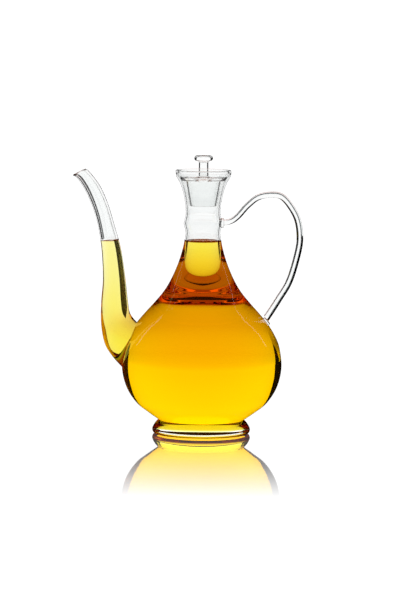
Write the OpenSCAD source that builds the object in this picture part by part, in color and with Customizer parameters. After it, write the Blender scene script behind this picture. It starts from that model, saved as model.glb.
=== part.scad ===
// Stoppered glass bottle for pouring oil: a blown bulb on a hollow foot, a long curved spout,
// a bent rod handle and a loose hollow stopper. Millimetres, +Z up, origin at the centre of the
// foot's flat bottom. The spout points to -X and the handle is on +X.

/* [Bulb and neck] */
// Greatest radius of the bulb
bulb_r = 63.5; // [61:0.5:66]
// Height of the widest part of the bulb
bulb_z = 53; // [50:0.5:56]
// Outer radius of the straight neck
neck_r = 13.8; // [13:0.1:14.5]
// Height where the neck meets its ring
neck_top = 161; // [160:0.5:162]
// Radius of the open bore through the neck, the ring and the mouth's foot
bore_r = 12.3; // [11.6:0.1:12.4]
// Thickness of the bulb's wall
bulb_wall = 2; // [1.6:0.1:2.4]
// Thickness of the wall at the waist above the foot
waist_wall = 2.5; // [2.2:0.1:3]

/* [Foot] */
// Height of the foot
foot_h = 11; // [10.5:0.5:12]
// Radius of the foot at its ridge
foot_r = 38.9; // [38:0.1:41]
// Radius of the waist where the foot meets the bulb
foot_waist_r = 33.9; // [33:0.1:35]
// Thickness of the glass under the oil
base_t = 2.4; // [2.2:0.1:3.2]

/* [Mouth] */
// Height of the ring's top, where the mouth begins
ring_top = 174.5; // [173.5:0.5:175]
// Greatest radius of the ring
ring_r = 15.4; // [15:0.1:16.5]
// Outer radius of the mouth at its rim
rim_r = 22.1; // [21.8:0.1:22.5]
// Height of the middle of the rolled rim
rim_z = 208.4; // [207.5:0.1:209]
// Thickness of the rolled rim
rim_d = 2.2; // [2:0.1:2.6]
// Thickness of the mouth's wall
mouth_wall = 1.4; // [1.2:0.1:1.5]

/* [Spout] */
// Thickness of the spout's wall
spout_wall = 2; // [1.8:0.1:2.3]

/* [Handle] */
// Thickness of the handle rod at the neck
handle_top_d = 4.6; // [4.2:0.1:5.4]
// Thickness of the handle rod at the bulb
handle_low_d = 5.9; // [4.8:0.1:6]
// Diameter of the pads that join the handle to the glass
pad_d = 8; // [7:0.2:9]
// Thickness of the pad on the bulb
pad_t = 1.6; // [1.4:0.1:2]

/* [Stopper] */
// Height of the underside of the stopper's disc
disc_z = 201.5; // [201.4:0.1:202.5]
// Thickness of the stopper's disc
disc_t = 2.8; // [2.4:0.1:3]
// Radius of the disc's upper edge
disc_r = 18.9; // [18:0.1:19]
// Radius of the disc's bevelled lower edge
disc_low_r = 17.8; // [16.5:0.1:17.9]
// Height of the skirt's open end
skirt_z = 181; // [180:0.2:184]
// Outer radius of the skirt at its open end
skirt_low_r = 11; // [10.4:0.1:11.2]
// Outer radius of the skirt under the disc
skirt_top_r = 14.6; // [13.6:0.1:14.8]
// Thickness of the skirt's wall
skirt_wall = 1.8; // [1.5:0.1:2]
// Radius of the stem
stem_r = 3.8; // [3.3:0.1:4.2]
// Height of the knob's underside
knob_z = 216.5; // [214:0.5:218]
// Thickness of the knob
knob_t = 4.5; // [4.4:0.1:6]
// Radius of the knob
knob_r = 7.4; // [6.5:0.1:8]

/* [Oil] */
// Height of the oil's surface, the same in the neck and in the spout
oil_z = 153; // [125:0.5:158]

/* [Hidden] */
$fn = 96;
clear_glass = [0.86, 0.92, 0.92, 0.35];
oil_yellow = [0.95, 0.75, 0.05, 0.85];
spout_sides = 28;
handle_sides = 16;

// Outer outline of the bulb and its neck from the waist to the straight neck, [radius, height]
BULB = [[foot_waist_r, foot_h], [42.4, 17], [52, 24.8], [60, 37.5], [bulb_r, bulb_z], [61.6, 69],
        [57.5, 79], [51.8, 88], [44.7, 96.5], [37.5, 104.5], [30.6, 113], [25, 122.5], [19.6, 135],
        [15.8, 147.5], [neck_r, 158.5]];
// The knot where the neck's flare begins on the bulb
NECK_KNOT = 8;
// Outer outline of the foot from its flat bottom to the waist, and of the hollow in it from the
// waist to the floor
FOOT = [[foot_r - 2.3, 0], [foot_r - 0.7, 1], [foot_r, 3], [foot_r - 0.6, 5.2], [foot_r - 2.5, 8.3],
        [foot_waist_r, foot_h]];
HOLLOW = [[foot_waist_r - 2, foot_h], [foot_r - 5.7, 8.7], [foot_r - 4.4, 6.4],
          [foot_r - 5.1, base_t + 1.6], [foot_r - 9.4, base_t]];
// Outer outline of the ring between the neck and the mouth
RING = [[neck_r, neck_top], [14.8, 164.4], [ring_r, 167.2], [14.7, 170], [neck_r, ring_top]];
// Outer outline of the flared mouth
MOUTH = [[neck_r, ring_top], [14.1, 181], [15.4, 188.8], [17.2, 195.8], [19.4, 200.6],
         [rim_r - 0.6, 204.4], [rim_r, rim_z]];
// The spout's two edges seen from the side, from its lip to its root inside the bulb: [x, z] of the
// outer edge, then [x, z] of the edge that faces the bulb
SPOUT = [[-103.4, 204.8, -92.8, 210], [-98.6, 200.4, -88.4, 205.4], [-92.6, 190.8, -81.4, 195.8],
         [-86.6, 176.4, -75.2, 182], [-82.6, 161.2, -70, 165], [-80, 143.8, -64.8, 146.6],
         [-79, 122, -61.2, 123.6], [-80.2, 104.5, -59, 105], [-80.2, 87, -57, 94.8],
         [-77.4, 71.5, -51.2, 87.4], [-71.6, 61.5, -45, 82], [-63.4, 52.4, -40, 76], [-56, 46, -36, 70]];
// The middle of the handle rod, [x, z] from the neck to the bulb
HANDLE = [[13.5, 167.4], [21.5, 169], [27.5, 173], [35, 181.5], [43.5, 188.3], [53.5, 190.4],
          [62, 189], [69, 181.6], [74.7, 171], [76.8, 158], [75.4, 145], [69, 122.5], [60.4, 107.4],
          [53.4, 96.2], [48.6, 89]];
// Height of the bulb pad and the upward tilt of the bulb's surface there
pad_z = 89.6;
pad_tilt = 38.5;
pad_sink = 1;
upper_pad_z = 167.6;
upper_pad_reach = 16.6;

// A smooth curve through every knot of a list, with n steps between knots
function knot(p, i) =
    i < 0 ? 2 * p[0] - p[1] : i >= len(p) ? 2 * p[len(p) - 1] - p[len(p) - 2] : p[i];
function between(a, b, c, d, t) =
    (2 * b + (c - a) * t + (2 * a - 5 * b + 4 * c - d) * t * t + (3 * b - a - 3 * c + d) * t * t * t) / 2;
function curve(p, n) = concat(
    [for (i = [0 : len(p) - 2]) for (k = [0 : n - 1])
        between(knot(p, i - 1), p[i], p[i + 1], knot(p, i + 2), k / n)],
    [p[len(p) - 1]]);
function reversed(p) = [for (i = [len(p) - 1 : -1 : 0]) p[i]];

// The inner outline that keeps a wall's thickness, for an outline that runs from bottom to top
function wall_at(z) = lookup(z, [[foot_h, waist_wall], [32, bulb_wall], [100, bulb_wall],
                                 [150, neck_r - bore_r]]);
function inset(c, i, t) =
    let (d = c[min(i + 1, len(c) - 1)] - c[max(i - 1, 0)]) c[i] + t * [-d[1], d[0]] / norm(d);
function part_of(p, first, last) = [for (i = [first : last]) p[i]];

curve_steps = 4;
bulb_outer = curve(BULB, curve_steps);
bulb_inner = [for (i = [0 : len(bulb_outer) - 1]) inset(bulb_outer, i, wall_at(bulb_outer[i][1]))];
neck_start = NECK_KNOT * curve_steps;
neck_end = len(bulb_outer) - 1;
foot_outer = curve(FOOT, curve_steps);
foot_inner = curve(concat([bulb_inner[0]], HOLLOW), curve_steps);

module bulb_volume() {
    rotate_extrude()
        polygon(concat(bulb_outer, [[neck_r, neck_top], [0, neck_top], [0, foot_h]]));
}

// All the space inside the foot, the bulb and the neck
module cavity() {
    rotate_extrude()
        polygon(concat(part_of(bulb_inner, 1, neck_end), [[bore_r, neck_top], [0, neck_top], [0, base_t]],
                       reversed(foot_inner)));
}

// A tube through rings of points: stations are [x, z, x, z] of two opposite edges
function ring_points(s, shrink, sides) =
    let (a = [s[0], s[1]], b = [s[2], s[3]], mid = (a + b) / 2, u = (b - a) / norm(b - a),
         r = norm(b - a) / 2 - shrink)
    [for (k = [0 : sides - 1]) let (t = 360 * k / sides)
        [mid[0] + r * cos(t) * u[0], r * sin(t), mid[1] + r * cos(t) * u[1]]];

module swept(stations, shrink, sides) {
    last = len(stations) - 1;
    points = [for (s = stations) each ring_points(s, shrink, sides)];
    walls = [for (i = [0 : last - 1]) for (k = [0 : sides - 1])
        let (a = i * sides + k, b = i * sides + (k + 1) % sides, c = a + sides, d = b + sides)
        each [[a, b, c], [b, d, c]]];
    start_cap = [for (k = [sides - 1 : -1 : 0]) k];
    end_cap = [for (k = [0 : sides - 1]) last * sides + k];
    polyhedron(points, concat([start_cap], walls, [end_cap]));
}

spout_stations = curve(SPOUT, 2);
// One more station past the lip, so that the bore opens there
bore_stations = concat([2 * spout_stations[0] - spout_stations[1]], spout_stations);

module spout_bore() {
    swept(bore_stations, spout_wall, spout_sides);
}

// Hollow foot, open to the bulb: flat bottom, a ridge above it and a waist up to the bulb
module foot() {
    color(clear_glass)
        rotate_extrude()
            polygon(concat([[0, 0]], foot_outer, foot_inner, [[0, base_t]]));
}

// Blown bulb from the waist to the start of the neck's flare, open to the spout
module bulb() {
    color(clear_glass)
        difference() {
            rotate_extrude()
                polygon(concat(part_of(bulb_outer, 0, neck_start),
                               reversed(part_of(bulb_inner, 0, neck_start))));
            spout_bore();
        }
}

// Neck that narrows in a long flare from the bulb to the ring
module neck() {
    color(clear_glass)
        rotate_extrude()
            polygon(concat(part_of(bulb_outer, neck_start, neck_end),
                           [[neck_r, neck_top], [bore_r, neck_top]],
                           reversed(part_of(bulb_inner, neck_start, neck_end))));
}

// Thick ring of glass at the joint of the neck and the mouth
module neck_ring() {
    color(clear_glass)
        rotate_extrude()
            polygon(concat(curve(RING, 5), [[bore_r, ring_top], [bore_r, neck_top]]));
}

// Flared mouth with a rolled rim
module mouth_funnel() {
    outer = curve(MOUTH, 5);
    inner = [for (i = [1 : len(outer) - 1]) inset(outer, i, mouth_wall)];
    color(clear_glass)
        rotate_extrude() {
            polygon(concat(outer, reversed(inner), [[bore_r, ring_top]]));
            translate([rim_r - rim_d / 2, rim_z])
                circle(d = rim_d);
        }
}

// Curved spout, narrow at its slanted lip and wide where it joins the bulb
module spout() {
    color(clear_glass)
        difference() {
            swept(spout_stations, 0, spout_sides);
            spout_bore();
            bulb_volume();
        }
}

// The space that the bulb pad fills, from just inside the bulb's wall out to the rod
module at_pad() {
    r = lookup(pad_z, [for (p = bulb_outer) if (p[1] > bulb_z) [p[1], p[0]]]);
    translate([r, 0, pad_z])
        rotate([0, 90 - pad_tilt, 0])
            children();
}

// Bent solid rod
module handle() {
    path = curve(HANDLE, 3);
    last = len(path) - 1;
    stations = [for (i = [0 : last])
        let (d = path[min(i + 1, last)] - path[max(i - 1, 0)],
             r = (handle_top_d + (handle_low_d - handle_top_d) * i / last) / 2,
             side = r * [-d[1], d[0]] / norm(d))
        concat(path[i] - side, path[i] + side)];
    color(clear_glass)
        difference() {
            swept(stations, 0, handle_sides);
            translate([0, 0, upper_pad_z - 10])
                cylinder(h = 20, r = upper_pad_reach);
            at_pad()
                translate([-10, -10, pad_t - 20])
                    cube(20);
        }
}

// Pad that joins the rod to the ring
module handle_upper_pad() {
    color(clear_glass)
        difference() {
            translate([bore_r + 1, 0, upper_pad_z])
                rotate([0, 90, 0])
                    cylinder(h = 8, d = pad_d - 0.6);
            rotate_extrude()
                polygon(concat(curve(RING, 5), [[0, ring_top], [0, neck_top]]));
            difference() {
                translate([0, 0, upper_pad_z - 10])
                    cylinder(h = 20, r = 30);
                translate([0, 0, upper_pad_z - 11])
                    cylinder(h = 22, r = upper_pad_reach);
            }
        }
}

// Pad that joins the rod to the bulb
module handle_lower_pad() {
    color(clear_glass)
        difference() {
            at_pad()
                translate([0, 0, -pad_sink])
                    cylinder(h = pad_t + pad_sink, d = pad_d);
            bulb_volume();
        }
}

// The oil, which fills the bulb, its neck and the lower part of the spout
module oil() {
    color(oil_yellow)
        intersection() {
            union() {
                cavity();
                spout_bore();
            }
            translate([-120, -80, 0])
                cube([200, 160, oil_z]);
        }
}

// Hollow skirt under the stopper's disc, open at the bottom with a rounded end
module stopper_skirt() {
    bead = skirt_wall / 2;
    color(clear_glass)
        rotate_extrude() {
            polygon([[skirt_low_r, skirt_z + bead], [skirt_top_r, disc_z],
                     [skirt_top_r - skirt_wall, disc_z], [skirt_low_r - skirt_wall, skirt_z + bead]]);
            translate([skirt_low_r - bead, skirt_z + bead])
                circle(r = bead);
        }
}

// Disc with a bevelled edge, which rests in the flare of the mouth
module stopper_disc() {
    color(clear_glass)
        rotate_extrude()
            polygon([[0, disc_z], [disc_low_r, disc_z], [disc_r, disc_z + disc_t - 0.5],
                     [disc_r - 0.4, disc_z + disc_t], [0, disc_z + disc_t]]);
}

// Stem between the disc and the knob, with a fillet at each end
module stopper_stem() {
    low = disc_z + disc_t;
    low_fillet = 2.4;
    top_fillet = 1.4;
    color(clear_glass)
        rotate_extrude()
            polygon(concat([[0, low]],
                           [for (a = [0 : 15 : 90])
                               [stem_r + low_fillet * (1 - sin(a)), low + low_fillet * (1 - cos(a))]],
                           [for (a = [90 : -15 : 0])
                               [stem_r + top_fillet * (1 - sin(a)), knob_z - top_fillet * (1 - cos(a))]],
                           [[0, knob_z]]));
}

// Flat round knob
module stopper_knob() {
    round_r = 2.2;
    color(clear_glass)
        rotate_extrude() {
            polygon([[0, knob_z], [knob_r - round_r, knob_z], [knob_r, knob_z + round_r],
                     [knob_r, knob_z + knob_t - round_r], [knob_r - round_r, knob_z + knob_t],
                     [0, knob_z + knob_t]]);
            translate([knob_r - round_r, knob_z + round_r])
                circle(r = round_r);
            translate([knob_r - round_r, knob_z + knob_t - round_r])
                circle(r = round_r);
        }
}

foot();
bulb();
neck();
neck_ring();
mouth_funnel();
spout();
handle();
handle_upper_pad();
handle_lower_pad();
oil();
stopper_skirt();
stopper_disc();
stopper_stem();
stopper_knob();
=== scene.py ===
"""Glass oil bottle: a blown bulb on a hollow foot, a curved spout, a rod handle and a loose hollow stopper.

Metres, +Z up, the foot's flat bottom at z = 0, the spout to -X and the handle on +X. Outlines are written in
millimetres, as they are in the CAD source, and scaled by MM when a mesh is made.

The stage is a turntable studio: its white paper, black cards and strip lights are parented to the camera and
go round the bottle with it. The table stays where it is.
"""
import math

import bmesh
import bpy
from mathutils import Matrix, Vector


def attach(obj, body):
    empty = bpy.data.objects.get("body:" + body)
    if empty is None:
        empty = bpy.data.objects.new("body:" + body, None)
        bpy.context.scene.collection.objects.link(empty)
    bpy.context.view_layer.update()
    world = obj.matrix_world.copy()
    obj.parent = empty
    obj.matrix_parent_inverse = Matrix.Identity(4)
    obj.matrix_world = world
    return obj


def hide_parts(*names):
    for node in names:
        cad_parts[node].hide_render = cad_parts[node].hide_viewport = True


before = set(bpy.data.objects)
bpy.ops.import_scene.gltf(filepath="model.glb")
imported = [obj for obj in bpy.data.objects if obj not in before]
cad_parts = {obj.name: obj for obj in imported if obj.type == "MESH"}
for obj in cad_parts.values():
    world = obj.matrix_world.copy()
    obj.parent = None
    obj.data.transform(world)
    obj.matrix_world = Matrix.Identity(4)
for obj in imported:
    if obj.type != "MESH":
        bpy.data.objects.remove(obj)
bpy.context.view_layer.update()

MM = 0.001

# Faces of a glass piece: GLASS meets air, FUSED melts into other glass or is wetted by the oil, MARK is
# only used while pieces are being cut
GLASS, FUSED, MARK = 0, 1, 2

# ---------------------------------------------------------------- outlines, in millimetres

WAIST_Z = 11.0
BASE_T = 2.4
FOOT = [(36.6, 0), (38.2, 1), (38.9, 3), (38.3, 5.2), (36.4, 8.3), (33.9, WAIST_Z)]
HOLLOW = [(31.9, WAIST_Z), (33.2, 8.7), (34.5, 6.4), (33.8, 4.0), (29.5, BASE_T)]
NECK_R = 13.8
NECK_TOP = 161.0
BORE_R = 12.3
WAIST_WALL = 2.5
BULB_WALL = 2.0
BULB_Z = 53
BULB = [(33.9, WAIST_Z), (42.4, 17), (52, 24.8), (60, 37.5), (63.43, BULB_Z), (61.6, 69), (57.5, 79),
        (51.8, 88), (44.7, 96.5), (37.5, 104.5), (30.6, 113), (25, 122.5), (19.6, 135), (15.8, 147.5),
        (13.8, 158.5)]
# The knot of BULB where the neck's own piece starts
NECK_KNOT = 8
# [height, thickness of the bulb's wall]
WALL_STOPS = [(WAIST_Z, WAIST_WALL), (32, BULB_WALL), (100, BULB_WALL), (150, NECK_R - BORE_R)]
RING_TOP = 174.5
RING = [(13.8, 161), (14.8, 164.4), (15.4, 167.2), (14.7, 170), (13.8, 174.5)]
MOUTH = [(13.8, 174.5), (14.1, 181), (15.4, 188.8), (17.2, 195.8), (19.4, 200.6), (21.5, 204.4),
         (22.1, 208.4)]
MOUTH_WALL = 1.4
# The mouth's rim is a round bead; the inner wall runs into it from this far below
RIM_R, RIM_Z, RIM_RUN_IN = 1.1, 208.4, 2.0
SPOUT_WALL = 2.0
# [x, z] of the spout's outer edge, then [x, z] of its edge towards the bulb, from the lip to the root
SPOUT = [(-103.4, 204.8, -92.8, 210), (-98.6, 200.4, -88.4, 205.4), (-92.6, 190.8, -81.4, 195.8),
         (-86.6, 176.4, -75.2, 182), (-82.6, 161.2, -70, 165), (-80, 143.8, -64.8, 146.6),
         (-79, 122, -61.2, 123.6), (-80.2, 104.5, -59, 105), (-80.2, 87, -57, 94.8),
         (-77.4, 71.5, -51.2, 87.4), (-71.6, 61.5, -45, 82), (-63.4, 52.4, -40, 76), (-56, 46, -36, 70)]
# The wall's straight part starts this many half walls in from the lip
LIP_CLEAR = 1.3
# A box round the whole spout: its x from and to, its half width in y, and a height above the lip
SPOUT_X0, SPOUT_X1, SPOUT_HALF_Y, SPOUT_ABOVE = -130, -40, 30, 240
HANDLE = [(13.5, 167.4), (21.5, 169), (27.5, 173), (35, 181.5), (43.5, 188.3), (53.5, 190.4), (62, 189),
          (69, 181.6), (74.7, 171), (76.8, 158), (75.4, 145), (69, 122.5), (60.4, 107.4), (53.4, 96.2),
          (48.6, 89)]
HANDLE_TOP_D, HANDLE_LOW_D = 4.6, 5.9
# Drawn a touch thinner, so that its facets stay inside the CAD rod's
ROD_TRIM = 0.984
# The rod holds one fine line of trapped air, moved off its middle. It leaves out some points of the rod's
# path at both ends, and widens over AIR_TAPER points from its thinnest share of the full width.
AIR_D, AIR_SHIFT = 0.7, 0.85
AIR_FROM, AIR_TO, AIR_TAPER, AIR_THINNEST, AIR_START = 6, -4, 12, 0.15, 0.02
PAD_D, PAD_T, PAD_SINK = 8.0, 1.6, 1.0
PAD_Z, PAD_TILT = 89.6, 38.5
UPPER_PAD_D, UPPER_PAD_Z, UPPER_PAD_REACH = 7.4, 167.6, 16.6
# How far from the axis the upper pad starts, inside the ring's wall
UPPER_PAD_START = BORE_R + 1
# Roundness of the pads' edges, and of the solids that mark where the pads sit
PAD_EDGE, UPPER_PAD_EDGE = 0.6, 0.5
PAD_MARK_EDGE, UPPER_PAD_MARK_EDGE = 0.5, 0.3
# Solids that trim the rod's ends: heights of one about the axis, size of one under the lower pad
CORE_LOW, CORE_HIGH = 150, 185
UNDER_HALF, UNDER_DEPTH = 10, 20
OIL_Z = 152.9
# The oil's surface climbs the wall by MENISCUS_H, which dies out inwards over MENISCUS_W / MENISCUS_FALL
MENISCUS_H, MENISCUS_W, MENISCUS_FALL = 1.0, 2.0, 2.2
OIL_GAP = 0.05
# The painted dark shade at the edge of the meniscus: how far in, below and above the surface it reaches, and
# its gap at the top
OIL_SHADE_W, OIL_SHADE_BELOW, OIL_SHADE_ABOVE, OIL_SHADE_SHORT = 0.6, 0.25, 0.25, 0.1
FILM_T = 0.03
DISC_Z, DISC_T, DISC_R, DISC_LOW_R = 201.5, 2.8, 18.9, 17.8
# Roundness of the disc's two edges, and how far in the flat bottom and the middle of the lower round stop
DISC_LOW_ROUND, DISC_TOP_ROUND = 0.3, 0.7
DISC_FLAT_IN, DISC_ROUND_IN = 0.4, 0.25
SKIRT_Z, SKIRT_LOW_R, SKIRT_TOP_R, SKIRT_WALL = 181.0, 11.0, 14.6, 1.8
SKIRT_TOP_IN = SKIRT_TOP_R - SKIRT_WALL
STEM_R, STEM_LOW_FILLET, STEM_TOP_FILLET = 3.8, 2.4, 1.4
KNOB_Z, KNOB_T, KNOB_R, KNOB_ROUND = 216.5, 4.5, 7.4, 2.2

# Sides of round pieces, and points between the knots of an outline
LATHE_SIDES, BUTTON_SIDES, SPOUT_SIDES, ROD_SIDES, AIR_SIDES = 160, 64, 72, 40, 12
BULB_STEPS, FINE_STEPS, ROD_STEPS = 12, 8, 10
LIP_STEPS, OIL_RINGS = 10, 24
# Steps of the small rounds
EDGE_STEPS, BEAD_STEPS, RIM_STEPS, DISC_LOW_STEPS, DISC_TOP_STEPS, KNOB_STEPS = 6, 12, 14, 3, 8, 10
# The oil surface's rings crowd towards the wall by this power
OIL_CROWDING = 1.6
# Points of the rod's path that a pad's mark covers
ROD_END = 30
# Lengths that count as nothing, in millimetres, and in metres for points that are welded or cut
NEAR = 1e-6
WELD, CUT_NEAR = 2e-6, 1e-7
# A face whose normal's z is above this faces up
FACES_UP = 0.9


def curve(knots, steps):
    """A smooth curve through every knot, with steps points between knots."""
    def knot(i):
        if i < 0:
            return tuple(2 * a - b for a, b in zip(knots[0], knots[1]))
        if i >= len(knots):
            return tuple(2 * a - b for a, b in zip(knots[-1], knots[-2]))
        return knots[i]

    points = []
    for i in range(len(knots) - 1):
        for k in range(steps):
            t = k / steps
            points.append(tuple(
                (2 * b + (c - a) * t + (2 * a - 5 * b + 4 * c - d) * t * t
                 + (3 * b - a - 3 * c + d) * t ** 3) / 2
                for a, b, c, d in zip(knot(i - 1), knots[i], knots[i + 1], knot(i + 2))))
    return points + [tuple(knots[-1])]


def wall_at(z):
    """Thickness of the bulb's wall at a height."""
    for (z0, w0), (z1, w1) in zip(WALL_STOPS, WALL_STOPS[1:]):
        if z <= z1:
            return w0 + (w1 - w0) * max(0, z - z0) / (z1 - z0)
    return WALL_STOPS[-1][1]


def inset(points, thickness):
    """The outline moved inwards; thickness is a number or a function of the height."""
    inner = []
    for i in range(len(points)):
        a, b = points[max(i - 1, 0)], points[min(i + 1, len(points) - 1)]
        dx, dz = b[0] - a[0], b[1] - a[1]
        length = math.hypot(dx, dz)
        t = thickness(points[i][1]) if callable(thickness) else thickness
        inner.append((points[i][0] - t * dz / length, points[i][1] + t * dx / length))
    return inner


def with_height(points, z):
    """The outline with one more point where it passes a height."""
    for i, (a, b) in enumerate(zip(points, points[1:])):
        if min(a[1], b[1]) < z < max(a[1], b[1]):
            t = (z - a[1]) / (b[1] - a[1])
            return points[:i + 1] + [(a[0] + t * (b[0] - a[0]), z)] + points[i + 1:]
    return points


def radius_at(points, z):
    """Radius where an outline passes a height."""
    for a, b in zip(points, points[1:]):
        if min(a[1], b[1]) <= z <= max(a[1], b[1]) and a[1] != b[1]:
            return a[0] + (b[0] - a[0]) * (z - a[1]) / (b[1] - a[1])
    return points[-1][0]


def arc(cx, cz, r, a0, a1, steps):
    """Points of an arc in the outline plane, angles in degrees from +X towards +Z."""
    return [(cx + r * math.cos(math.radians(a0 + (a1 - a0) * i / steps)),
             cz + r * math.sin(math.radians(a0 + (a1 - a0) * i / steps))) for i in range(steps + 1)]


BULB_OUTER = curve(BULB, BULB_STEPS)
BULB_INNER = inset(BULB_OUTER, wall_at)
NECK_START = NECK_KNOT * BULB_STEPS
FOOT_OUTER = curve(FOOT, FINE_STEPS)
FOOT_INNER = curve([BULB_INNER[0]] + HOLLOW, FINE_STEPS)
RING_OUTER = curve(RING, FINE_STEPS)
SPOUT_STATIONS = curve(SPOUT, FINE_STEPS)
HANDLE_PATH = curve(HANDLE, ROD_STEPS)
# Where the meniscus meets the glass
CONTACT_Z = OIL_Z + MENISCUS_H
Y_AXIS = Vector((0, 1, 0))


# ---------------------------------------------------------------- meshes

def new_object(name, mesh):
    obj = bpy.data.objects.new(name, mesh)
    bpy.context.scene.collection.objects.link(obj)
    return obj


def from_bmesh(name, bm):
    bmesh.ops.recalc_face_normals(bm, faces=bm.faces)
    mesh = bpy.data.meshes.new(name)
    bm.to_mesh(mesh)
    bm.free()
    for _ in range(3):
        mesh.materials.append(None)
    return new_object(name, mesh)


def lathe(name, chains, sides=LATHE_SIDES):
    """Turns an outline about Z. chains is [(kind, points), ...]: each chain's faces get that kind, and it
    ends where the next one starts. The outline closes on itself, unless it starts and ends on the axis."""
    points, kinds = [], []
    for kind, chain in chains:
        for p in chain if not points else chain[1:]:
            points.append(p)
            kinds.append(kind)
    kinds = kinds[1:]
    on_axis = points[0][0] < NEAR and points[-1][0] < NEAR
    if not on_axis:
        points = points[:-1]
    bm = bmesh.new()
    rings = []
    for r, z in points:
        if r < NEAR:
            rings.append([bm.verts.new((0, 0, z * MM))] * sides)
        else:
            rings.append([bm.verts.new((r * MM * math.cos(2 * math.pi * k / sides),
                                        r * MM * math.sin(2 * math.pi * k / sides), z * MM))
                          for k in range(sides)])
    if not on_axis:
        rings.append(rings[0])
    for i, kind in enumerate(kinds):
        a, b = rings[i], rings[i + 1]
        for k in range(sides):
            corners = list(dict.fromkeys([a[k], a[(k + 1) % sides], b[(k + 1) % sides], b[k]]))
            if len(corners) > 2:
                bm.faces.new(corners).material_index = kind
    return from_bmesh(name, bm)


def tube_ring(bm, centre, u, v, r, sides):
    return [bm.verts.new((centre + r * math.cos(2 * math.pi * k / sides) * u
                          + r * math.sin(2 * math.pi * k / sides) * v) * MM) for k in range(sides)]


def join_rings(bm, rings, kind):
    for a, b in zip(rings, rings[1:]):
        n = len(a)
        for k in range(n):
            bm.faces.new((a[k], a[(k + 1) % n], b[(k + 1) % n], b[k])).material_index = kind


def cap(bm, ring, kind):
    """Closes a ring with a fan round its middle."""
    middle = bm.verts.new(sum((v.co for v in ring), Vector()) / len(ring))
    n = len(ring)
    for k in range(n):
        bm.faces.new((ring[k], ring[(k + 1) % n], middle)).material_index = kind


def closed_tube(name, bm, rings, kind, end_kind):
    """Joins rings into a tube and closes both its ends."""
    join_rings(bm, rings, kind)
    cap(bm, rings[0], end_kind)
    cap(bm, rings[-1], end_kind)
    return from_bmesh(name, bm)


def spout_section(station):
    """Centre, direction across and radius of the spout at a station."""
    a, b = Vector((station[0], 0, station[1])), Vector((station[2], 0, station[3]))
    return (a + b) / 2, (b - a).normalized(), (b - a).length / 2


def spout_rings(bm, stations, shrink):
    rings = []
    for s in stations:
        centre, u, r = spout_section(s)
        rings.append(tube_ring(bm, centre, u, Y_AXIS, r - shrink, SPOUT_SIDES))
    return rings


def spout_solid(name, shrink, kind):
    """The spout's outer shape, or with shrink its bore, which goes on past the lip."""
    bm = bmesh.new()
    stations = list(SPOUT_STATIONS)
    if shrink:
        stations.insert(0, tuple(a + (a - b) for a, b in zip(stations[0], stations[1])))
    return closed_tube(name, bm, spout_rings(bm, stations, shrink), kind, kind)


def spout_tube(name):
    """The spout with its bore and a fire-polished lip; its root is still inside the bulb."""
    half = SPOUT_WALL / 2
    lip, u, r = spout_section(SPOUT_STATIONS[0])
    inwards = (spout_section(SPOUT_STATIONS[1])[0] - lip).normalized()
    inwards = (inwards - inwards.dot(u) * u).normalized()
    bm = bmesh.new()
    body = [s for s in SPOUT_STATIONS if (spout_section(s)[0] - lip).dot(inwards) > half * LIP_CLEAR]
    lip_rings = []
    for i in range(LIP_STEPS + 1):
        a = math.pi * i / LIP_STEPS
        lip_rings.append(tube_ring(bm, lip + inwards * half * (1 - math.sin(a)), u, Y_AXIS,
                                   r - half + half * math.cos(a), SPOUT_SIDES))
    outer = spout_rings(bm, body, 0)
    inner = spout_rings(bm, body, SPOUT_WALL)
    join_rings(bm, outer[::-1] + lip_rings, GLASS)
    join_rings(bm, [lip_rings[-1]] + inner, MARK)
    join_rings(bm, [outer[-1], inner[-1]], FUSED)
    bmesh.ops.bisect_plane(bm, geom=bm.verts[:] + bm.edges[:] + bm.faces[:], dist=CUT_NEAR,
                           plane_co=(0, 0, CONTACT_Z * MM), plane_no=(0, 0, 1))
    for f in bm.faces:
        if f.material_index == MARK:
            f.material_index = FUSED if f.calc_center_median().z < CONTACT_Z * MM else GLASS
    return from_bmesh(name, bm)


def path_ring(bm, path, i, r, sides, shift=0.0):
    """A ring of a tube about point i of an [x, z] path, moved outwards across the path by shift."""
    a, b = path[max(i - 1, 0)], path[min(i + 1, len(path) - 1)]
    along = Vector((b[0] - a[0], 0, b[1] - a[1])).normalized()
    across = Vector((-along.z, 0, along.x))
    x, z = path[i]
    return tube_ring(bm, Vector((x, 0, z)) + shift * across, across, Y_AXIS, r, sides)


def rod(name, path, d0, d1):
    """A round rod along [x, z] points, closed at both ends."""
    bm = bmesh.new()
    last = len(path) - 1
    rings = [path_ring(bm, path, i, (d0 + (d1 - d0) * i / last) / 2, ROD_SIDES) for i in range(last + 1)]
    return closed_tube(name, bm, rings, GLASS, FUSED)


def button(name, placement, low, high, d, round_r):
    """A disc from low to high along its own Z with a rounded upper edge, put in place by a matrix."""
    outline = ([(0, low), (d / 2, low)]
               + arc(d / 2 - round_r, high - round_r, round_r, 0, 90, EDGE_STEPS) + [(0, high)])
    obj = lathe(name, [(GLASS, outline)], BUTTON_SIDES)
    obj.data.transform(placement)
    return obj


def block(name, low, high, kind):
    bm = bmesh.new()
    bmesh.ops.create_cube(bm, size=1)
    low, high = Vector(low) * MM, Vector(high) * MM
    for v in bm.verts:
        v.co = (low + high) / 2 + Vector(a * b for a, b in zip(v.co, high - low))
    for f in bm.faces:
        f.material_index = kind
    return from_bmesh(name, bm)


def spout_slab(low, high, kind):
    """A block that takes in all of the spout between two heights."""
    return block("slab", (SPOUT_X0, -SPOUT_HALF_Y, low), (SPOUT_X1, SPOUT_HALF_Y, high), kind)


def drop(obj):
    mesh = obj.data
    bpy.data.objects.remove(obj)
    bpy.data.meshes.remove(mesh)


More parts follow.
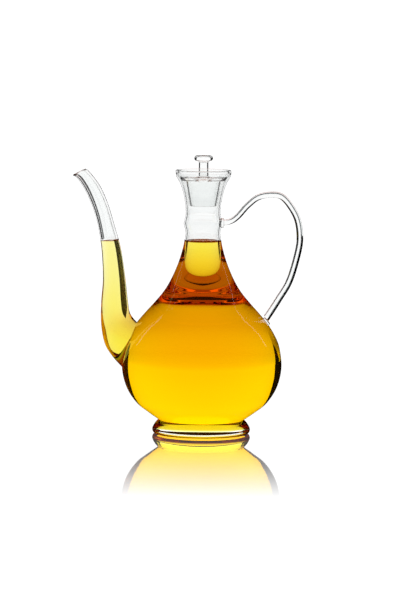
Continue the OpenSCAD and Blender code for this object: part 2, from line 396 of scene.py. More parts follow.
def combine(obj, other, operation):
    """The mesh of obj after a boolean with other; the faces that other leaves keep other's kinds."""
    modifier = obj.modifiers.new("combine", "BOOLEAN")
    modifier.operation = operation
    modifier.solver = "MANIFOLD"
    modifier.object = other
    depsgraph = bpy.context.evaluated_depsgraph_get()
    mesh = bpy.data.meshes.new_from_object(obj.evaluated_get(depsgraph))
    obj.modifiers.clear()
    return mesh


def cut(obj, other, operation="DIFFERENCE"):
    """Applies a boolean to obj and removes the other solid."""
    old = obj.data
    obj.data = combine(obj, other, operation)
    bpy.data.meshes.remove(old)
    drop(other)


def imprint(obj, solid):
    """Marks the part of obj's surface that lies inside a solid as fused, without changing its shape."""
    for p in solid.data.polygons:
        p.material_index = MARK
    outside, inside = combine(obj, solid, "DIFFERENCE"), combine(obj, solid, "INTERSECT")
    bm = bmesh.new()
    bm.from_mesh(inside)
    for f in bm.faces:
        if f.material_index != MARK:
            f.material_index = FUSED
    bm.from_mesh(outside)
    bmesh.ops.delete(bm, geom=[f for f in bm.faces if f.material_index == MARK], context="FACES")
    bmesh.ops.remove_doubles(bm, verts=bm.verts, dist=WELD)
    bm.to_mesh(obj.data)
    bm.free()
    bpy.data.meshes.remove(outside)
    bpy.data.meshes.remove(inside)
    drop(solid)


# ---------------------------------------------------------------- pieces

def at_pad():
    """Placement of the pad on the bulb: its own Z points out of the bulb's surface."""
    r = radius_at([p for p in BULB_OUTER if p[1] > BULB_Z], PAD_Z)
    return (Matrix.Translation(Vector((r, 0, PAD_Z)) * MM)
            @ Matrix.Rotation(math.radians(90 - PAD_TILT), 4, "Y"))


def at_upper_pad():
    return (Matrix.Translation(Vector((0, 0, UPPER_PAD_Z)) * MM)
            @ Matrix.Rotation(math.radians(90), 4, "Y"))


def bulb_solid():
    """All that the bulb's outer surface encloses."""
    outline = [(0, WAIST_Z)] + BULB_OUTER + [(NECK_R, NECK_TOP), (0, NECK_TOP)]
    return lathe("solid", [(FUSED, outline)])


def make_foot():
    return lathe("foot_glass", [(GLASS, [(0, 0)] + FOOT_OUTER),
                                (FUSED, [FOOT_OUTER[-1]] + FOOT_INNER + [(0, BASE_T)])])


def make_bulb():
    outer, inner = BULB_OUTER[:NECK_START + 1], BULB_INNER[:NECK_START + 1][::-1]
    obj = lathe("bulb_glass", [(GLASS, outer), (FUSED, [outer[-1]] + inner + [outer[0]])])
    cut(obj, spout_solid("bore", SPOUT_WALL, FUSED))
    imprint(obj, spout_solid("root", 0, MARK))
    imprint(obj, button("pad", at_pad(), -PAD_SINK, PAD_T, PAD_D, PAD_MARK_EDGE))
    return obj


def make_neck():
    outer = BULB_OUTER[NECK_START:] + [(NECK_R, NECK_TOP)]
    inner = with_height(BULB_INNER[NECK_START:] + [(BORE_R, NECK_TOP)], CONTACT_Z)[::-1]
    wet = next(i for i, p in enumerate(inner) if p[1] <= CONTACT_Z + NEAR)
    return lathe("neck_glass", [(GLASS, outer),
                                (FUSED, [outer[-1], inner[0]]),
                                (GLASS, inner[:wet + 1]),
                                (FUSED, inner[wet:] + [outer[0]])])


def make_neck_ring():
    inner = ([(BORE_R, RING_TOP)] + inset(RING_OUTER, NECK_R - BORE_R)[-2:0:-1]
             + [(BORE_R, NECK_TOP)])
    obj = lathe("neck_ring_glass", [(GLASS, RING_OUTER),
                                    (FUSED, [RING_OUTER[-1], inner[0]]),
                                    (GLASS, inner),
                                    (FUSED, [inner[-1], RING_OUTER[0]])])
    imprint(obj, button("pad", at_upper_pad(), UPPER_PAD_START, UPPER_PAD_REACH, UPPER_PAD_D,
                        UPPER_PAD_MARK_EDGE))
    return obj


def make_mouth():
    outer = curve(MOUTH, FINE_STEPS)
    inner = [p for p in inset(outer, MOUTH_WALL) if p[1] < RIM_Z - RIM_RUN_IN]
    bead_x = MOUTH[-1][0] - RIM_R
    bead = arc(bead_x, RIM_Z, RIM_R, 6, 200, RIM_STEPS)
    outline = outer + bead + inner[::-1] + [(BORE_R, RING_TOP)]
    return lathe("mouth_glass", [(GLASS, outline), (FUSED, [(BORE_R, RING_TOP), MOUTH[0]])])


def make_spout():
    obj = spout_tube("spout_glass")
    cut(obj, bulb_solid())
    return obj


def make_handle():
    """The rod, cut square against the upper pad and flat on the lower one."""
    obj = rod("handle_glass", HANDLE_PATH, HANDLE_TOP_D * ROD_TRIM, HANDLE_LOW_D * ROD_TRIM)
    core = [(0, CORE_LOW), (UPPER_PAD_REACH, CORE_LOW), (UPPER_PAD_REACH, CORE_HIGH), (0, CORE_HIGH)]
    cut(obj, lathe("core", [(FUSED, core)]))
    under = block("under", (-UNDER_HALF, -UNDER_HALF, PAD_T - UNDER_DEPTH),
                  (UNDER_HALF, UNDER_HALF, PAD_T), FUSED)
    under.data.transform(at_pad())
    cut(obj, under)
    return obj


def make_air_line():
    """The fine line of air in the rod, as a closed thread inside it."""
    path = HANDLE_PATH[AIR_FROM:AIR_TO]
    last = len(path) - 1
    bm = bmesh.new()
    rings = []
    for i in range(last + 1):
        widened = min(1.0, min(i, last - i) / AIR_TAPER + AIR_START)
        share = max(AIR_THINNEST, math.sin(math.pi * widened / 2))
        rings.append(path_ring(bm, path, i, AIR_D / 2 * share, AIR_SIDES, AIR_SHIFT))
    return closed_tube("handle_air_line", bm, rings, GLASS, GLASS)


def make_upper_pad():
    obj = button("handle_upper_pad_glass", at_upper_pad(), UPPER_PAD_START, UPPER_PAD_REACH, UPPER_PAD_D,
                 UPPER_PAD_EDGE)
    cut(obj, lathe("ring", [(FUSED, RING_OUTER + [(0, RING_TOP), (0, NECK_TOP), RING[0]])]))
    imprint(obj, rod("rod", HANDLE_PATH[:ROD_END], HANDLE_TOP_D, HANDLE_TOP_D))
    return obj


def make_lower_pad():
    obj = button("handle_lower_pad_glass", at_pad(), -PAD_SINK, PAD_T, PAD_D, PAD_EDGE)
    cut(obj, bulb_solid())
    imprint(obj, rod("rod", HANDLE_PATH[-ROD_END:], HANDLE_LOW_D, HANDLE_LOW_D))
    return obj


def meniscus(r, wall_r):
    """Height of the oil's surface at a distance from the middle: it climbs the wall."""
    return OIL_Z + MENISCUS_H * math.exp(-(wall_r - r) / MENISCUS_W * MENISCUS_FALL)


def oil_outline():
    """The oil's outline up the glass that it wets, and then its open surface from the wall to the axis."""
    wetted = [(r - OIL_GAP, z + OIL_GAP) for r, z in FOOT_INNER[::-1] + BULB_INNER[1:]]
    wetted = [p for p in with_height(wetted, CONTACT_Z) if p[1] <= CONTACT_Z + NEAR]
    wall_r = wetted[-1][0]
    radii = [wall_r * (1 - (i / OIL_RINGS) ** OIL_CROWDING) for i in range(1, OIL_RINGS + 1)]
    return wetted, [(r, meniscus(r, wall_r)) for r in radii]


def oil_in_spout(name, kind, inwards=0.0):
    """The spout's bore as the oil fills it, or with inwards that much thinner."""
    return spout_solid(name, SPOUT_WALL + OIL_GAP + inwards, kind)


def make_oil():
    wetted, top = oil_outline()
    oil = lathe("oil_body", [(GLASS, [(0, BASE_T + OIL_GAP)] + wetted + top)])
    bore = oil_in_spout("bore", GLASS)
    cut(bore, spout_slab(OIL_Z, SPOUT_ABOVE, GLASS))
    cut(oil, bore, "UNION")
    return oil


def make_oil_films():
    """A thin film on each of the oil's two open surfaces, which carries its shine."""
    wetted, top = oil_outline()
    surface = [wetted[-1]] + top
    film_top = [(r, z + FILM_T) for r, z in surface[::-1]]
    film_low = [(r, z + FILM_T / 2) for r, z in surface]
    neck_film = lathe("oil_surface_neck", [(GLASS, film_top), (FUSED, [film_top[-1]] + film_low)])
    spout_film = oil_in_spout("oil_surface_spout", FUSED)
    cut(spout_film, spout_slab(OIL_Z + FILM_T / 2, OIL_Z + FILM_T, MARK), "INTERSECT")
    for p in spout_film.data.polygons:
        p.material_index = GLASS if p.normal.z > FACES_UP and p.material_index == MARK else FUSED
    return neck_film, spout_film


def make_oil_shade_rims():
    """The oil that climbs the glass at its two open surfaces, as thin rings with a painted dark shade at its
    edge.
    """
    wall_r = radius_at(BULB_INNER, OIL_Z) - OIL_GAP
    low = OIL_Z - OIL_SHADE_BELOW
    neck_shade_rim = lathe("oil_shade_rim_neck", [(GLASS, [(wall_r, low), (wall_r, CONTACT_Z - OIL_SHADE_SHORT),
                                               (wall_r - OIL_SHADE_W, OIL_Z), (wall_r - OIL_SHADE_W, low),
                                               (wall_r, low)])])
    spout_shade_rim = oil_in_spout("oil_shade_rim_spout", GLASS)
    cut(spout_shade_rim, spout_slab(low, OIL_Z + OIL_SHADE_ABOVE, GLASS), "INTERSECT")
    cut(spout_shade_rim, oil_in_spout("middle", GLASS, inwards=OIL_SHADE_W))
    return neck_shade_rim, spout_shade_rim


def make_skirt():
    bead = SKIRT_WALL / 2
    outline = ([(SKIRT_TOP_IN, DISC_Z), (SKIRT_LOW_R - SKIRT_WALL, SKIRT_Z + bead)]
               + arc(SKIRT_LOW_R - bead, SKIRT_Z + bead, bead, 180, 360, BEAD_STEPS)[1:]
               + [(SKIRT_TOP_R, DISC_Z)])
    return lathe("stopper_skirt_glass", [(GLASS, outline),
                                         (FUSED, [(SKIRT_TOP_R, DISC_Z), (SKIRT_TOP_IN, DISC_Z)])])


def make_disc():
    top = DISC_Z + DISC_T
    stem_foot = STEM_R + STEM_LOW_FILLET
    low_r, top_r = DISC_LOW_ROUND, DISC_TOP_ROUND
    edge = ([(DISC_LOW_R - DISC_FLAT_IN, DISC_Z)]
            + arc(DISC_LOW_R - DISC_ROUND_IN, DISC_Z + low_r, low_r, -70, -30, DISC_LOW_STEPS)
            + arc(DISC_R - top_r, top - top_r, top_r, -10, 90, DISC_TOP_STEPS))
    return lathe("stopper_disc_glass", [(GLASS, [(0, DISC_Z), (SKIRT_TOP_IN, DISC_Z)]),
                                        (FUSED, [(SKIRT_TOP_IN, DISC_Z), (SKIRT_TOP_R, DISC_Z)]),
                                        (GLASS, [(SKIRT_TOP_R, DISC_Z)] + edge + [(stem_foot, top)]),
                                        (FUSED, [(stem_foot, top), (0, top)])])


def fillet(end_z, r, way, angles):
    """Points of the hollow round at an end of the stem, which runs from there up (way 1) or down (-1)."""
    return [(STEM_R + r * (1 - math.sin(math.radians(a))), end_z + way * r * (1 - math.cos(math.radians(a))))
            for a in angles]


def make_stem():
    low = DISC_Z + DISC_T
    outline = (fillet(low, STEM_LOW_FILLET, 1, range(0, 91, 6))
               + fillet(KNOB_Z, STEM_TOP_FILLET, -1, range(90, -1, -9)))
    return lathe("stopper_stem_glass", [(FUSED, [(0, low), outline[0]]),
                                        (GLASS, outline),
                                        (FUSED, [outline[-1], (0, KNOB_Z)])])


def make_knob():
    top = KNOB_Z + KNOB_T
    stem_top = STEM_R + STEM_TOP_FILLET
    side = (arc(KNOB_R - KNOB_ROUND, KNOB_Z + KNOB_ROUND, KNOB_ROUND, -88, 0, KNOB_STEPS)
            + arc(KNOB_R - KNOB_ROUND, top - KNOB_ROUND, KNOB_ROUND, 0, 90, KNOB_STEPS))
    return lathe("stopper_knob_glass", [(FUSED, [(0, KNOB_Z), (stem_top, KNOB_Z)]),
                                        (GLASS, [(stem_top, KNOB_Z)] + side + [(0, top)])])


# ---------------------------------------------------------------- materials

# The oil bends light as the glass does. LIKE_AIR is for pieces whose boundary bends nothing.
GLASS_IOR, LIKE_AIR = 1.47, 1.0
GLASS_TINT = (0.985, 0.995, 0.992)
# Painted shade, as tints that stand in for the light their curved boundaries would bend away: seen through
# the rod the air in it is a grey thread, and the edge of the oil's surface is deep amber
AIR_PAINTED_SHADE = (0.2, 0.22, 0.22)
OIL_TINT, OIL_RIM_PAINTED_SHADE, OIL_FILM_TINT = (1.0, 0.99, 0.97), (0.3, 0.09, 0.012), (1.0, 0.95, 0.75)
# What the oil absorbs on the way through it
OIL_DENSITY, OIL_COLOR = 96.0, (1.0, 0.9365, 0.0)
# Noise scales of the waves and the smears in the glass, per metre, and the depth of a wave in metres
WAVE_SCALE, SMEAR_SCALE, WAVE_DEPTH = 38.0, 55.0, 0.001


def add(tree, kind, **values):
    """A node with its inputs set by name."""
    node = tree.nodes.new(kind)
    for key, value in values.items():
        node.inputs[key.replace("_", " ")].default_value = value
    return node


def see_through(name, tint, ior):
    """A material that lets light through, with its node tree and shader."""
    material = bpy.data.materials.new(name)
    material.use_nodes = True
    tree = material.node_tree
    shader = tree.nodes["Principled BSDF"]
    shader.inputs["Base Color"].default_value = (*tint, 1)
    shader.inputs["IOR"].default_value = ior
    shader.inputs["Transmission Weight"].default_value = 1
    return material, tree, shader


def with_detail(name, tint, ior, wave, smear):
    """A see-through material with broad soft waves, as in blown glass, and faint smears that blur it."""
    material, tree, shader = see_through(name, tint, ior)
    place = tree.nodes.new("ShaderNodeTexCoord")
    waves = add(tree, "ShaderNodeTexNoise", Scale=WAVE_SCALE, Detail=1.5, Roughness=0.4)
    bump = add(tree, "ShaderNodeBump", Strength=wave, Distance=WAVE_DEPTH)
    smears = add(tree, "ShaderNodeTexNoise", Scale=SMEAR_SCALE, Detail=5.0, Roughness=0.6, Distortion=0.6)
    spread = add(tree, "ShaderNodeMapRange", From_Min=0.5, From_Max=0.8, To_Min=0.0, To_Max=smear)
    tree.links.new(place.outputs["Object"], waves.inputs["Vector"])
    tree.links.new(place.outputs["Object"], smears.inputs["Vector"])
    tree.links.new(waves.outputs["Fac"], bump.inputs["Height"])
    tree.links.new(bump.outputs["Normal"], shader.inputs["Normal"])
    tree.links.new(smears.outputs["Fac"], spread.inputs["Value"])
    tree.links.new(spread.outputs["Result"], shader.inputs["Roughness"])
    return material


def fused_glass():
    """A boundary inside glass or between glass and oil, which bends and reflects nothing."""
    material, _, shader = see_through("fused_boundary", GLASS_TINT, GLASS_IOR)
    shader.inputs["Alpha"].default_value = 0
    return material


def oil_body():
    """The oil's colour is absorbed along the way through it. Glass wets it all over, so its own boundary
    bends nothing."""
    material, tree, shader = see_through("oil_body", OIL_TINT, LIKE_AIR)
    shader.inputs["Roughness"].default_value = 0
    volume = add(tree, "ShaderNodeVolumeAbsorption", Density=OIL_DENSITY, Color=(*OIL_COLOR, 1))
    tree.links.new(volume.outputs["Volume"], tree.nodes["Material Output"].inputs["Volume"])
    return material


# ---------------------------------------------------------------- assembly

# Edges sharper than this many degrees are creases, and so are those between kinds of face above the second
CREASE, KIND_CREASE = 34, 8


def finish_mesh(obj, materials):
    """Smooth shading with creases, and the piece's materials."""
    mesh = obj.data
    while len(mesh.materials) > len(materials):
        mesh.materials.pop()
    for i, material in enumerate(materials):
        mesh.materials[i] = material
    bm = bmesh.new()
    bm.from_mesh(mesh)
    for e in bm.edges:
        kinds = {f.material_index for f in e.link_faces}
        angle = e.calc_face_angle(0)
        e.smooth = angle < math.radians(CREASE) and not (len(kinds) > 1 and angle > math.radians(KIND_CREASE))
    for f in bm.faces:
        f.smooth = True
    bm.to_mesh(mesh)
    bm.free()


def build():
    """Makes every piece, gives it its materials and its body, and hides the CAD node it stands for."""
    bottle_glass = with_detail("bottle_glass", GLASS_TINT, GLASS_IOR, wave=0.03, smear=0.03)
    rod_glass = with_detail("rod_glass", GLASS_TINT, GLASS_IOR, wave=0.04, smear=0.03)
    stopper_glass = with_detail("stopper_glass", GLASS_TINT, GLASS_IOR, wave=0.04, smear=0.04)
    fused = fused_glass()
    on_bottle, on_rod, on_stopper = [bottle_glass, fused], [rod_glass, fused], [stopper_glass, fused]
    pieces = [(make_foot(), "foot", "bottle", on_bottle, "clear_glass"),
              (make_bulb(), "bulb", "bottle", on_bottle, "clear_glass"),
              (make_neck(), "neck", "bottle", on_bottle, "clear_glass"),
              (make_neck_ring(), "neck_ring", "bottle", on_bottle, "clear_glass"),
              (make_mouth(), "mouth_funnel", "bottle", on_bottle, "clear_glass"),
              (make_spout(), "spout", "bottle", on_bottle, "clear_glass"),
              (make_handle(), "handle", "bottle", on_rod, "clear_glass"),
              (make_upper_pad(), "handle_upper_pad", "bottle", on_rod, "clear_glass"),
              (make_lower_pad(), "handle_lower_pad", "bottle", on_rod, "clear_glass"),
              (make_skirt(), "stopper_skirt", "stopper", on_stopper, "stopper_glass"),
              (make_disc(), "stopper_disc", "stopper", on_stopper, "stopper_glass"),
              (make_stem(), "stopper_stem", "stopper", on_stopper, "stopper_glass"),
              (make_knob(), "stopper_knob", "stopper", on_stopper, "stopper_glass")]
    # The air line's grey is painted shade: a dark tint, since its boundary bends nothing
    air_line = with_detail("air_line", AIR_PAINTED_SHADE, LIKE_AIR, wave=0.01, smear=0.05)
    pieces.append((make_air_line(), "handle", "bottle", [air_line], "clear_glass"))
    pieces.append((make_oil(), "oil", "bottle", [oil_body()], "oil"))
    surface = with_detail("oil_surface", OIL_FILM_TINT, GLASS_IOR, wave=0.01, smear=0.02)
    pieces += [(film, "oil", "bottle", [surface, fused], "oil") for film in make_oil_films()]
    # The oil's dark edge is painted shade: a dark amber tint on rings that bend nothing
    oil_shade_rim = with_detail("oil_shade_rim", OIL_RIM_PAINTED_SHADE, LIKE_AIR, wave=0.01, smear=0.05)
    pieces += [(rim, "oil", "bottle", [oil_shade_rim], "oil") for rim in make_oil_shade_rims()]
    for obj, node, body, materials, slot in pieces:
        finish_mesh(obj, materials)
        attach(obj, body)
        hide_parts(node)


# ---------------------------------------------------------------- stage, light and camera

FLOOR_R = 1.6
# What the camera sees straight of the table and of the world behind it, and what else the world gives
WHITE, STUDIO_DARK = 1.12, 0.012
# How strongly the polished table mirrors: fully beside the foot, not at all past MIRROR_R, only at a glance
MIRROR_MOST, MIRROR_R, MIRROR_POWER = 0.97, 0.35, 2.2
MIRROR_ROUGH, GLANCE_FROM, GLANCE_TO = 0.03, 0.55, 0.82
# The table's light as the glass sees it, in the bottle's own shade and the amber light it throws:
# [distance from the axis, brightness] in red, green and blue
TABLE_RED = [(0.0, 0.42), (0.06, 0.46), (0.13, 0.76), (0.16, 0.86), (0.2, 0.93), (0.25, 0.98), (0.3, 1.0),
             (0.42, 1.03), (2.0, 1.04)]
TABLE_GREEN = [(0.0, 0.17), (0.06, 0.25), (0.13, 0.6), (0.16, 0.69), (0.2, 0.78), (0.25, 0.85), (0.3, 0.9),
               (0.42, 1.0), (0.6, 1.04), (2.0, 1.04)]
TABLE_BLUE = [(0.0, 0.1), (0.06, 0.2), (0.13, 0.56), (0.16, 0.66), (0.2, 0.75), (0.25, 0.83), (0.3, 0.9),
              (0.42, 1.0), (0.6, 1.04), (2.0, 1.04)]
# The paper stands behind the bottle on a sphere about PAPER_CENTRE. Directions are in degrees round the
# bottle (0 is straight behind, + to the right) and above the sphere's middle.
PAPER_CENTRE, PAPER_R = (0.0, 0.0, 0.10), 1.7
PAPER_LEFT, PAPER_RIGHT, PAPER_LOW, PAPER_HIGH = -53.0, 57.0, -30.0, 62.0
PAPER_WHITE = 1.06
# Black flags hide the paper past the first two directions from the mouth, ring and stopper alone, and its
# left part up to the last one from the handle alone
FLAG_LEFT, FLAG_RIGHT, HANDLE_FLAG = -34.0, 35.0, -13.0
ROD_ALONE = ["handle_glass"]
TOP = ["neck_ring_glass", "mouth_glass", "stopper_skirt_glass", "stopper_disc_glass", "stopper_stem_glass",
       "stopper_knob_glass"]
# What a lamp that only reaches the filled bulb and foot adds to the paper, [height on its sphere, 0 at the
# bottom and 2 at the top, brightness], and to the far table, [distance from the axis, brightness]
FILLED = ["bulb_glass", "foot_glass"]
PAPER_MORE = [(0.0, 0.14), (0.97, 0.27), (1.1, 0.35), (1.3, 0.42), (1.4, 0.5), (1.52, 0.54), (2.0, 0.54)]
TABLE_MORE = [(0.0, 0.0), (0.42, 0.02), (0.6, 0.06), (0.95, 0.2), (1.6, 0.3)]
# Heights of the table and of its lamp, and how far the paper's lamp stands in front of the paper
FLOOR_Z, TABLE_MORE_Z, PAPER_MORE_GAP = -0.0002, -0.0001, 0.01
# The paper fades to DEEP_LEFT between these numbers of surfaces passed. It is a choice for looks, and calms
# the many inner reflections.
DEEP_FROM, DEEP_TO, DEEP_LEFT = 8.0, 15.0, 0.3
# Narrow strip lights at the sides, which only draw thin reflections on the glass
STRIPS = {"strip_left": -62.0, "strip_right": 63.0}
STRIP_WIDTH, STRIP_GLOW, STRIP_LOW = 3.0, 0.9, 14.0
# The black cards that stand behind the bottle on each side, [x, y] from the near edge outwards
CARD, CARD_TOP = ((0.12, 0.151), (0.62, 0.30)), 0.5
# Columns of a paper panel, of the whole paper and of its lamp, of a strip, and rows of each
PANEL_COLUMNS, PAPER_COLUMNS, LAMP_COLUMNS, STRIP_COLUMNS, PAPER_ROWS = 16, 32, 48, 2, 32
TABLE_SIDES = 128
# Where the camera stands, and its angles in degrees
CAMERA_DISTANCE, CAMERA_HEIGHT = 2.6, 0.347
CAMERA_PITCH, CAMERA_YAW, CAMERA_ROLL = 5.30, 0.0315, 0.55
CAMERA_LENS, CAMERA_SENSOR, CAMERA_NEAR, CAMERA_FAR = 197.1, 36.0, 0.05, 20.0
# Glass inside glass takes many bounces
GLASS_BOUNCES, MIRROR_BOUNCES, CLEAR_BOUNCES = 40, 16, 64


def emission(tree, strength):
    node = tree.nodes.new("ShaderNodeEmission")
    node.inputs["Color"].default_value = (1, 1, 1, 1)
    node.inputs["Strength"].default_value = strength
    return node


def show(tree, surface):
    """Makes a shader the surface of its material."""
    tree.links.new(surface, tree.nodes["Material Output"].inputs["Surface"])


def empty_material(name):
    material = bpy.data.materials.new(name)
    material.use_nodes = True
    tree = material.node_tree
    tree.nodes.remove(tree.nodes["Principled BSDF"])
    material.cycles.emission_sampling = "NONE"
    return material, tree


def plain_glow(name, strength):
    """A material of one brightness."""
    material, tree = empty_material(name)
    show(tree, emission(tree, strength).outputs["Emission"])
    return material


def see_through_glow(name, strength):
    """A material that adds light to what is behind it without hiding that. strength(tree) is a socket."""
    material, tree = empty_material(name)
    glow = emission(tree, 1.0)
    tree.links.new(strength(tree), glow.inputs["Strength"])
    both = tree.nodes.new("ShaderNodeAddShader")
    clear = tree.nodes.new("ShaderNodeBsdfTransparent")
    tree.links.new(glow.outputs["Emission"], both.inputs[0])
    tree.links.new(clear.outputs["BSDF"], both.inputs[1])
    show(tree, both.outputs["Shader"])
    return material


def ramp(tree, value, stops):
    """A value from 0 to 2 carried along straight lines between [in, out] stops."""
    node = tree.nodes.new("ShaderNodeFloatCurve")
    points = node.mapping.curves[0].points
    node.mapping.use_clip = False
    while len(points) < len(stops):
        points.new(0.5, 0.5)
    for point, (x, y) in zip(points, stops):
        point.location = (x / 2, y)
        point.handle_type = "VECTOR"
    node.mapping.update()
    tree.links.new(math_node(tree, "MULTIPLY", value, 0.5), node.inputs["Value"])
    return node.outputs["Value"]


def math_node(tree, operation, a, b):
    node = tree.nodes.new("ShaderNodeMath")
    node.operation = operation
    for socket, value in zip(node.inputs, (a, b)):
        if isinstance(value, (int, float)):
            socket.default_value = value
        else:
            tree.links.new(value, socket)
    return node.outputs[0]


def deep_dim(tree):
    """The share of the paper's light that is left after many surfaces."""
    rays = tree.nodes.new("ShaderNodeLightPath")
    fall = add(tree, "ShaderNodeMapRange", From_Min=DEEP_FROM, From_Max=DEEP_TO, To_Min=1.0, To_Max=DEEP_LEFT)
    tree.links.new(rays.outputs["Ray Depth"], fall.inputs["Value"])
    return fall.outputs["Result"]


def axis_distance(tree):
    """Distance from the bottle's axis, on a flat sheet about it."""
    place = tree.nodes.new("ShaderNodeTexCoord")
    length = tree.nodes.new("ShaderNodeVectorMath")
    length.operation = "LENGTH"
    tree.links.new(place.outputs["Object"], length.inputs[0])
    return length.outputs["Value"]


def round_sheet(name, z, material):
    """A flat round part of the stage about the bottle's axis."""
    bm = bmesh.new()
    bmesh.ops.create_circle(bm, cap_ends=True, radius=FLOOR_R, segments=TABLE_SIDES)
    mesh = bpy.data.meshes.new(name)
    bm.to_mesh(mesh)
    bm.free()
    mesh.materials.append(material)
    sheet = new_object(name, mesh)
    sheet.location.z = z
    sheet.visible_glossy = False
    return sheet


def table_glow(tree, distance):
    """Plain white to the camera, and the shaded table to the glass."""
    rays = tree.nodes.new("ShaderNodeLightPath")
    glow = emission(tree, 1.0)
    shade = tree.nodes.new("ShaderNodeCombineColor")
    for channel, stops in enumerate((TABLE_RED, TABLE_GREEN, TABLE_BLUE)):
        tree.links.new(ramp(tree, distance, stops), shade.inputs[channel])
    choose = tree.nodes.new("ShaderNodeMix")
    choose.data_type = "RGBA"
    to_glass, to_camera = [socket for socket in choose.inputs if socket.type == "RGBA"]
    chosen = next(socket for socket in choose.outputs if socket.type == "RGBA")
    tree.links.new(rays.outputs["Is Camera Ray"], choose.inputs[0])
    tree.links.new(shade.outputs["Color"], to_glass)
    to_camera.default_value = (WHITE, WHITE, WHITE, 1)
    tree.links.new(chosen, glow.inputs["Color"])
    return glow.outputs["Emission"]


def mirror_share(tree, distance):
    """How much of the table's light is a mirror image: most near the foot and at a glance."""
    far = math_node(tree, "POWER", math_node(tree, "DIVIDE", distance, MIRROR_R), MIRROR_POWER)
    near = math_node(tree, "MAXIMUM", math_node(tree, "SUBTRACT", 1.0, far), 0.0)
    graze = tree.nodes.new("ShaderNodeLayerWeight")
    glance = add(tree, "ShaderNodeMapRange", From_Min=GLANCE_FROM, From_Max=GLANCE_TO, To_Min=0.0,
                 To_Max=MIRROR_MOST)
    tree.links.new(graze.outputs["Facing"], glance.inputs["Value"])
    return math_node(tree, "MULTIPLY", near, glance.outputs["Result"])


def make_floor():
    """A white table top lit from below, polished round the bottle."""
    material, tree = empty_material("floor")
    distance = axis_distance(tree)
    gloss = add(tree, "ShaderNodeBsdfGlossy", Color=(1, 1, 1, 1), Roughness=MIRROR_ROUGH)
    mix = tree.nodes.new("ShaderNodeMixShader")
    tree.links.new(mirror_share(tree, distance), mix.inputs["Fac"])
    tree.links.new(table_glow(tree, distance), mix.inputs[1])
    tree.links.new(gloss.outputs["BSDF"], mix.inputs[2])
    show(tree, mix.outputs["Shader"])
    round_sheet("floor", FLOOR_Z, material)


def make_world():
    """A dark studio. What the camera sees directly is plain white paper."""
    world = bpy.data.worlds.new("studio")
    bpy.context.scene.world = world
    world.use_nodes = True
    world.cycles.sampling_method = "NONE"
    tree = world.node_tree
    rays = tree.nodes.new("ShaderNodeLightPath")
    choose = add(tree, "ShaderNodeMapRange", To_Min=STUDIO_DARK, To_Max=WHITE)
    tree.links.new(rays.outputs["Is Camera Ray"], choose.inputs["Value"])
    background = tree.nodes["Background"]
    background.inputs["Color"].default_value = (1, 1, 1, 1)
    tree.links.new(choose.outputs["Result"], background.inputs["Strength"])


def stage_mesh(name, bm, material, camera):
    """A part of the studio that stands opposite the camera and goes round with it, as on a turntable."""
    mesh = bpy.data.meshes.new(name)
    bm.to_mesh(mesh)
    bm.free()
    mesh.materials.append(material)
    obj = new_object(name, mesh)
    obj.parent = camera
    obj.matrix_parent_inverse = camera.matrix_world.inverted()
    obj.visible_camera = False
    obj.visible_shadow = False
    return obj


def paper_patch(name, left, right, columns, material, camera, lowest=PAPER_LOW, r=PAPER_R):
    """Part of a sphere of white paper, between two directions round the bottle."""
    bm = bmesh.new()
    grid = []
    for j in range(PAPER_ROWS + 1):
        el = math.radians(lowest + (PAPER_HIGH - lowest) * j / PAPER_ROWS)
        grid.append([])
        for i in range(columns + 1):
            az = math.radians(left + (right - left) * i / columns)
            way = Vector((math.sin(az) * math.cos(el), math.cos(az) * math.cos(el), math.sin(el)))
            grid[-1].append(bm.verts.new(Vector(PAPER_CENTRE) + r * way))
    for low_row, high_row in zip(grid, grid[1:]):
        for i in range(columns):
            bm.faces.new((low_row[i], low_row[i + 1], high_row[i + 1], high_row[i]))
    return stage_mesh(name, bm, material, camera)


def light_only(lamp, names, state):
    """Lights only the named objects (state INCLUDE) or all but them (EXCLUDE), as flags on stands do."""
    group = bpy.data.collections.new(lamp.name + "_flags")
    for name in names:
        group.objects.link(bpy.data.objects[name])
    for member in group.collection_objects:
        member.light_linking.link_state = state
    lamp.light_linking.receiver_collection = group


def make_papers(camera):
    """White paper in four panels, and the paper that only the table mirrors."""
    material, tree = empty_material("paper")
    glow = emission(tree, 1.0)
    tree.links.new(math_node(tree, "MULTIPLY", deep_dim(tree), PAPER_WHITE), glow.inputs["Strength"])
    show(tree, glow.outputs["Emission"])
    for name, left, right, hidden_from in (("paper_far_left", PAPER_LEFT, FLAG_LEFT, TOP + ROD_ALONE),
                                           ("paper_left", FLAG_LEFT, HANDLE_FLAG, ROD_ALONE),
                                           ("paper_middle", HANDLE_FLAG, FLAG_RIGHT, []),
                                           ("paper_far_right", FLAG_RIGHT, PAPER_RIGHT, TOP)):
        panel = paper_patch(name, left, right, PANEL_COLUMNS, material, camera)
        panel.visible_glossy = False
        if hidden_from:
            light_only(panel, hidden_from, "EXCLUDE")
    mirrored = paper_patch("paper_in_table", PAPER_LEFT, PAPER_RIGHT, PAPER_COLUMNS, material, camera)
    mirrored.visible_transmission = False
    light_only(mirrored, ["floor"], "INCLUDE")


def more_on_paper(tree):
    """Brightness that the paper's lamp adds at a height, less after many surfaces."""
    place = tree.nodes.new("ShaderNodeNewGeometry")
    split = tree.nodes.new("ShaderNodeSeparateXYZ")
    tree.links.new(place.outputs["Position"], split.inputs["Vector"])
    above = math_node(tree, "SUBTRACT", split.outputs["Z"], PAPER_CENTRE[2])
    height = math_node(tree, "DIVIDE", above, PAPER_R)
    more = ramp(tree, math_node(tree, "ADD", height, 1.0), PAPER_MORE)
    return math_node(tree, "MULTIPLY", more, deep_dim(tree))


def more_on_table(tree):
    """Brightness that the table's lamp adds at a distance from the axis."""
    return ramp(tree, axis_distance(tree), TABLE_MORE)


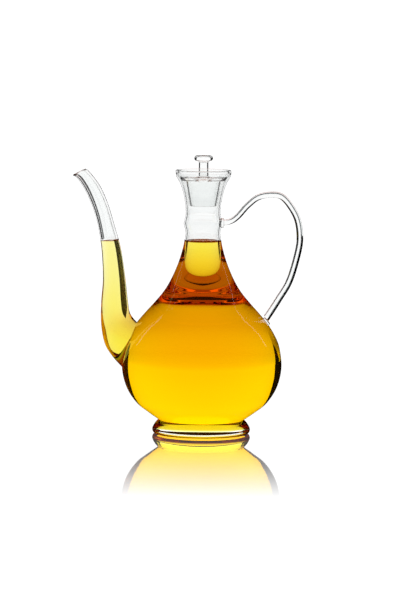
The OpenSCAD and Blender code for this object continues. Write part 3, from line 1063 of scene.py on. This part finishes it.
def make_filled_lamps(camera):
    """Light on paper and table that only reaches the bulb and the foot, which the oil darkens."""
    paper = paper_patch("paper_more", PAPER_LEFT, PAPER_RIGHT, LAMP_COLUMNS,
                        see_through_glow("paper_more", more_on_paper), camera, r=PAPER_R - PAPER_MORE_GAP)
    table = round_sheet("table_more", TABLE_MORE_Z, see_through_glow("table_more", more_on_table))
    table.visible_camera = table.visible_shadow = False
    for lamp in (paper, table):
        lamp.visible_glossy = False
        light_only(lamp, FILLED, "INCLUDE")


def make_strips(camera):
    material = plain_glow("strip_light", STRIP_GLOW)
    for name, az in STRIPS.items():
        strip = paper_patch(name, az - STRIP_WIDTH / 2, az + STRIP_WIDTH / 2, STRIP_COLUMNS, material, camera,
                            STRIP_LOW)
        strip.visible_transmission = False


def make_cards(camera):
    """Black cards beside the bottle, which draw the glass's edges."""
    material = plain_glow("card", STUDIO_DARK)
    (x0, y0), (x1, y1) = CARD
    for side, name in ((-1, "card_left"), (1, "card_right")):
        bm = bmesh.new()
        bm.faces.new([bm.verts.new(p) for p in ((side * x0, y0, 0), (side * x1, y1, 0),
                                                (side * x1, y1, CARD_TOP), (side * x0, y0, CARD_TOP))])
        stage_mesh(name, bm, material, camera).visible_glossy = False


def make_camera():
    """Long lens, level with the stopper and looking a little down."""
    pitch, yaw, roll = (math.radians(a) for a in (CAMERA_PITCH, CAMERA_YAW, CAMERA_ROLL))
    data = bpy.data.cameras.new("camera")
    data.lens = CAMERA_LENS
    data.sensor_width = CAMERA_SENSOR
    data.clip_start, data.clip_end = CAMERA_NEAR, CAMERA_FAR
    camera = new_object("camera", data)
    forward = Vector((-math.sin(yaw) * math.cos(pitch), math.cos(yaw) * math.cos(pitch), -math.sin(pitch)))
    right = forward.cross(Vector((0, 0, 1))).normalized()
    up = right.cross(forward)
    turned_up = up * math.cos(roll) - right * math.sin(roll)
    turned_right = right * math.cos(roll) + up * math.sin(roll)
    camera.matrix_world = Matrix((
        (turned_right.x, turned_up.x, -forward.x, 0.0),
        (turned_right.y, turned_up.y, -forward.y, -CAMERA_DISTANCE),
        (turned_right.z, turned_up.z, -forward.z, CAMERA_HEIGHT),
        (0, 0, 0, 1)))
    bpy.context.scene.camera = camera
    bpy.context.view_layer.update()
    return camera


def make_look():
    scene = bpy.context.scene
    scene.view_settings.view_transform = "Standard"
    scene.view_settings.look = "None"
    scene.cycles.max_bounces = GLASS_BOUNCES
    scene.cycles.transmission_bounces = GLASS_BOUNCES
    scene.cycles.glossy_bounces = MIRROR_BOUNCES
    scene.cycles.transparent_max_bounces = CLEAR_BOUNCES


camera = make_camera()
build()
make_floor()
make_world()
make_papers(camera)
make_filled_lamps(camera)
make_strips(camera)
make_cards(camera)
make_look()
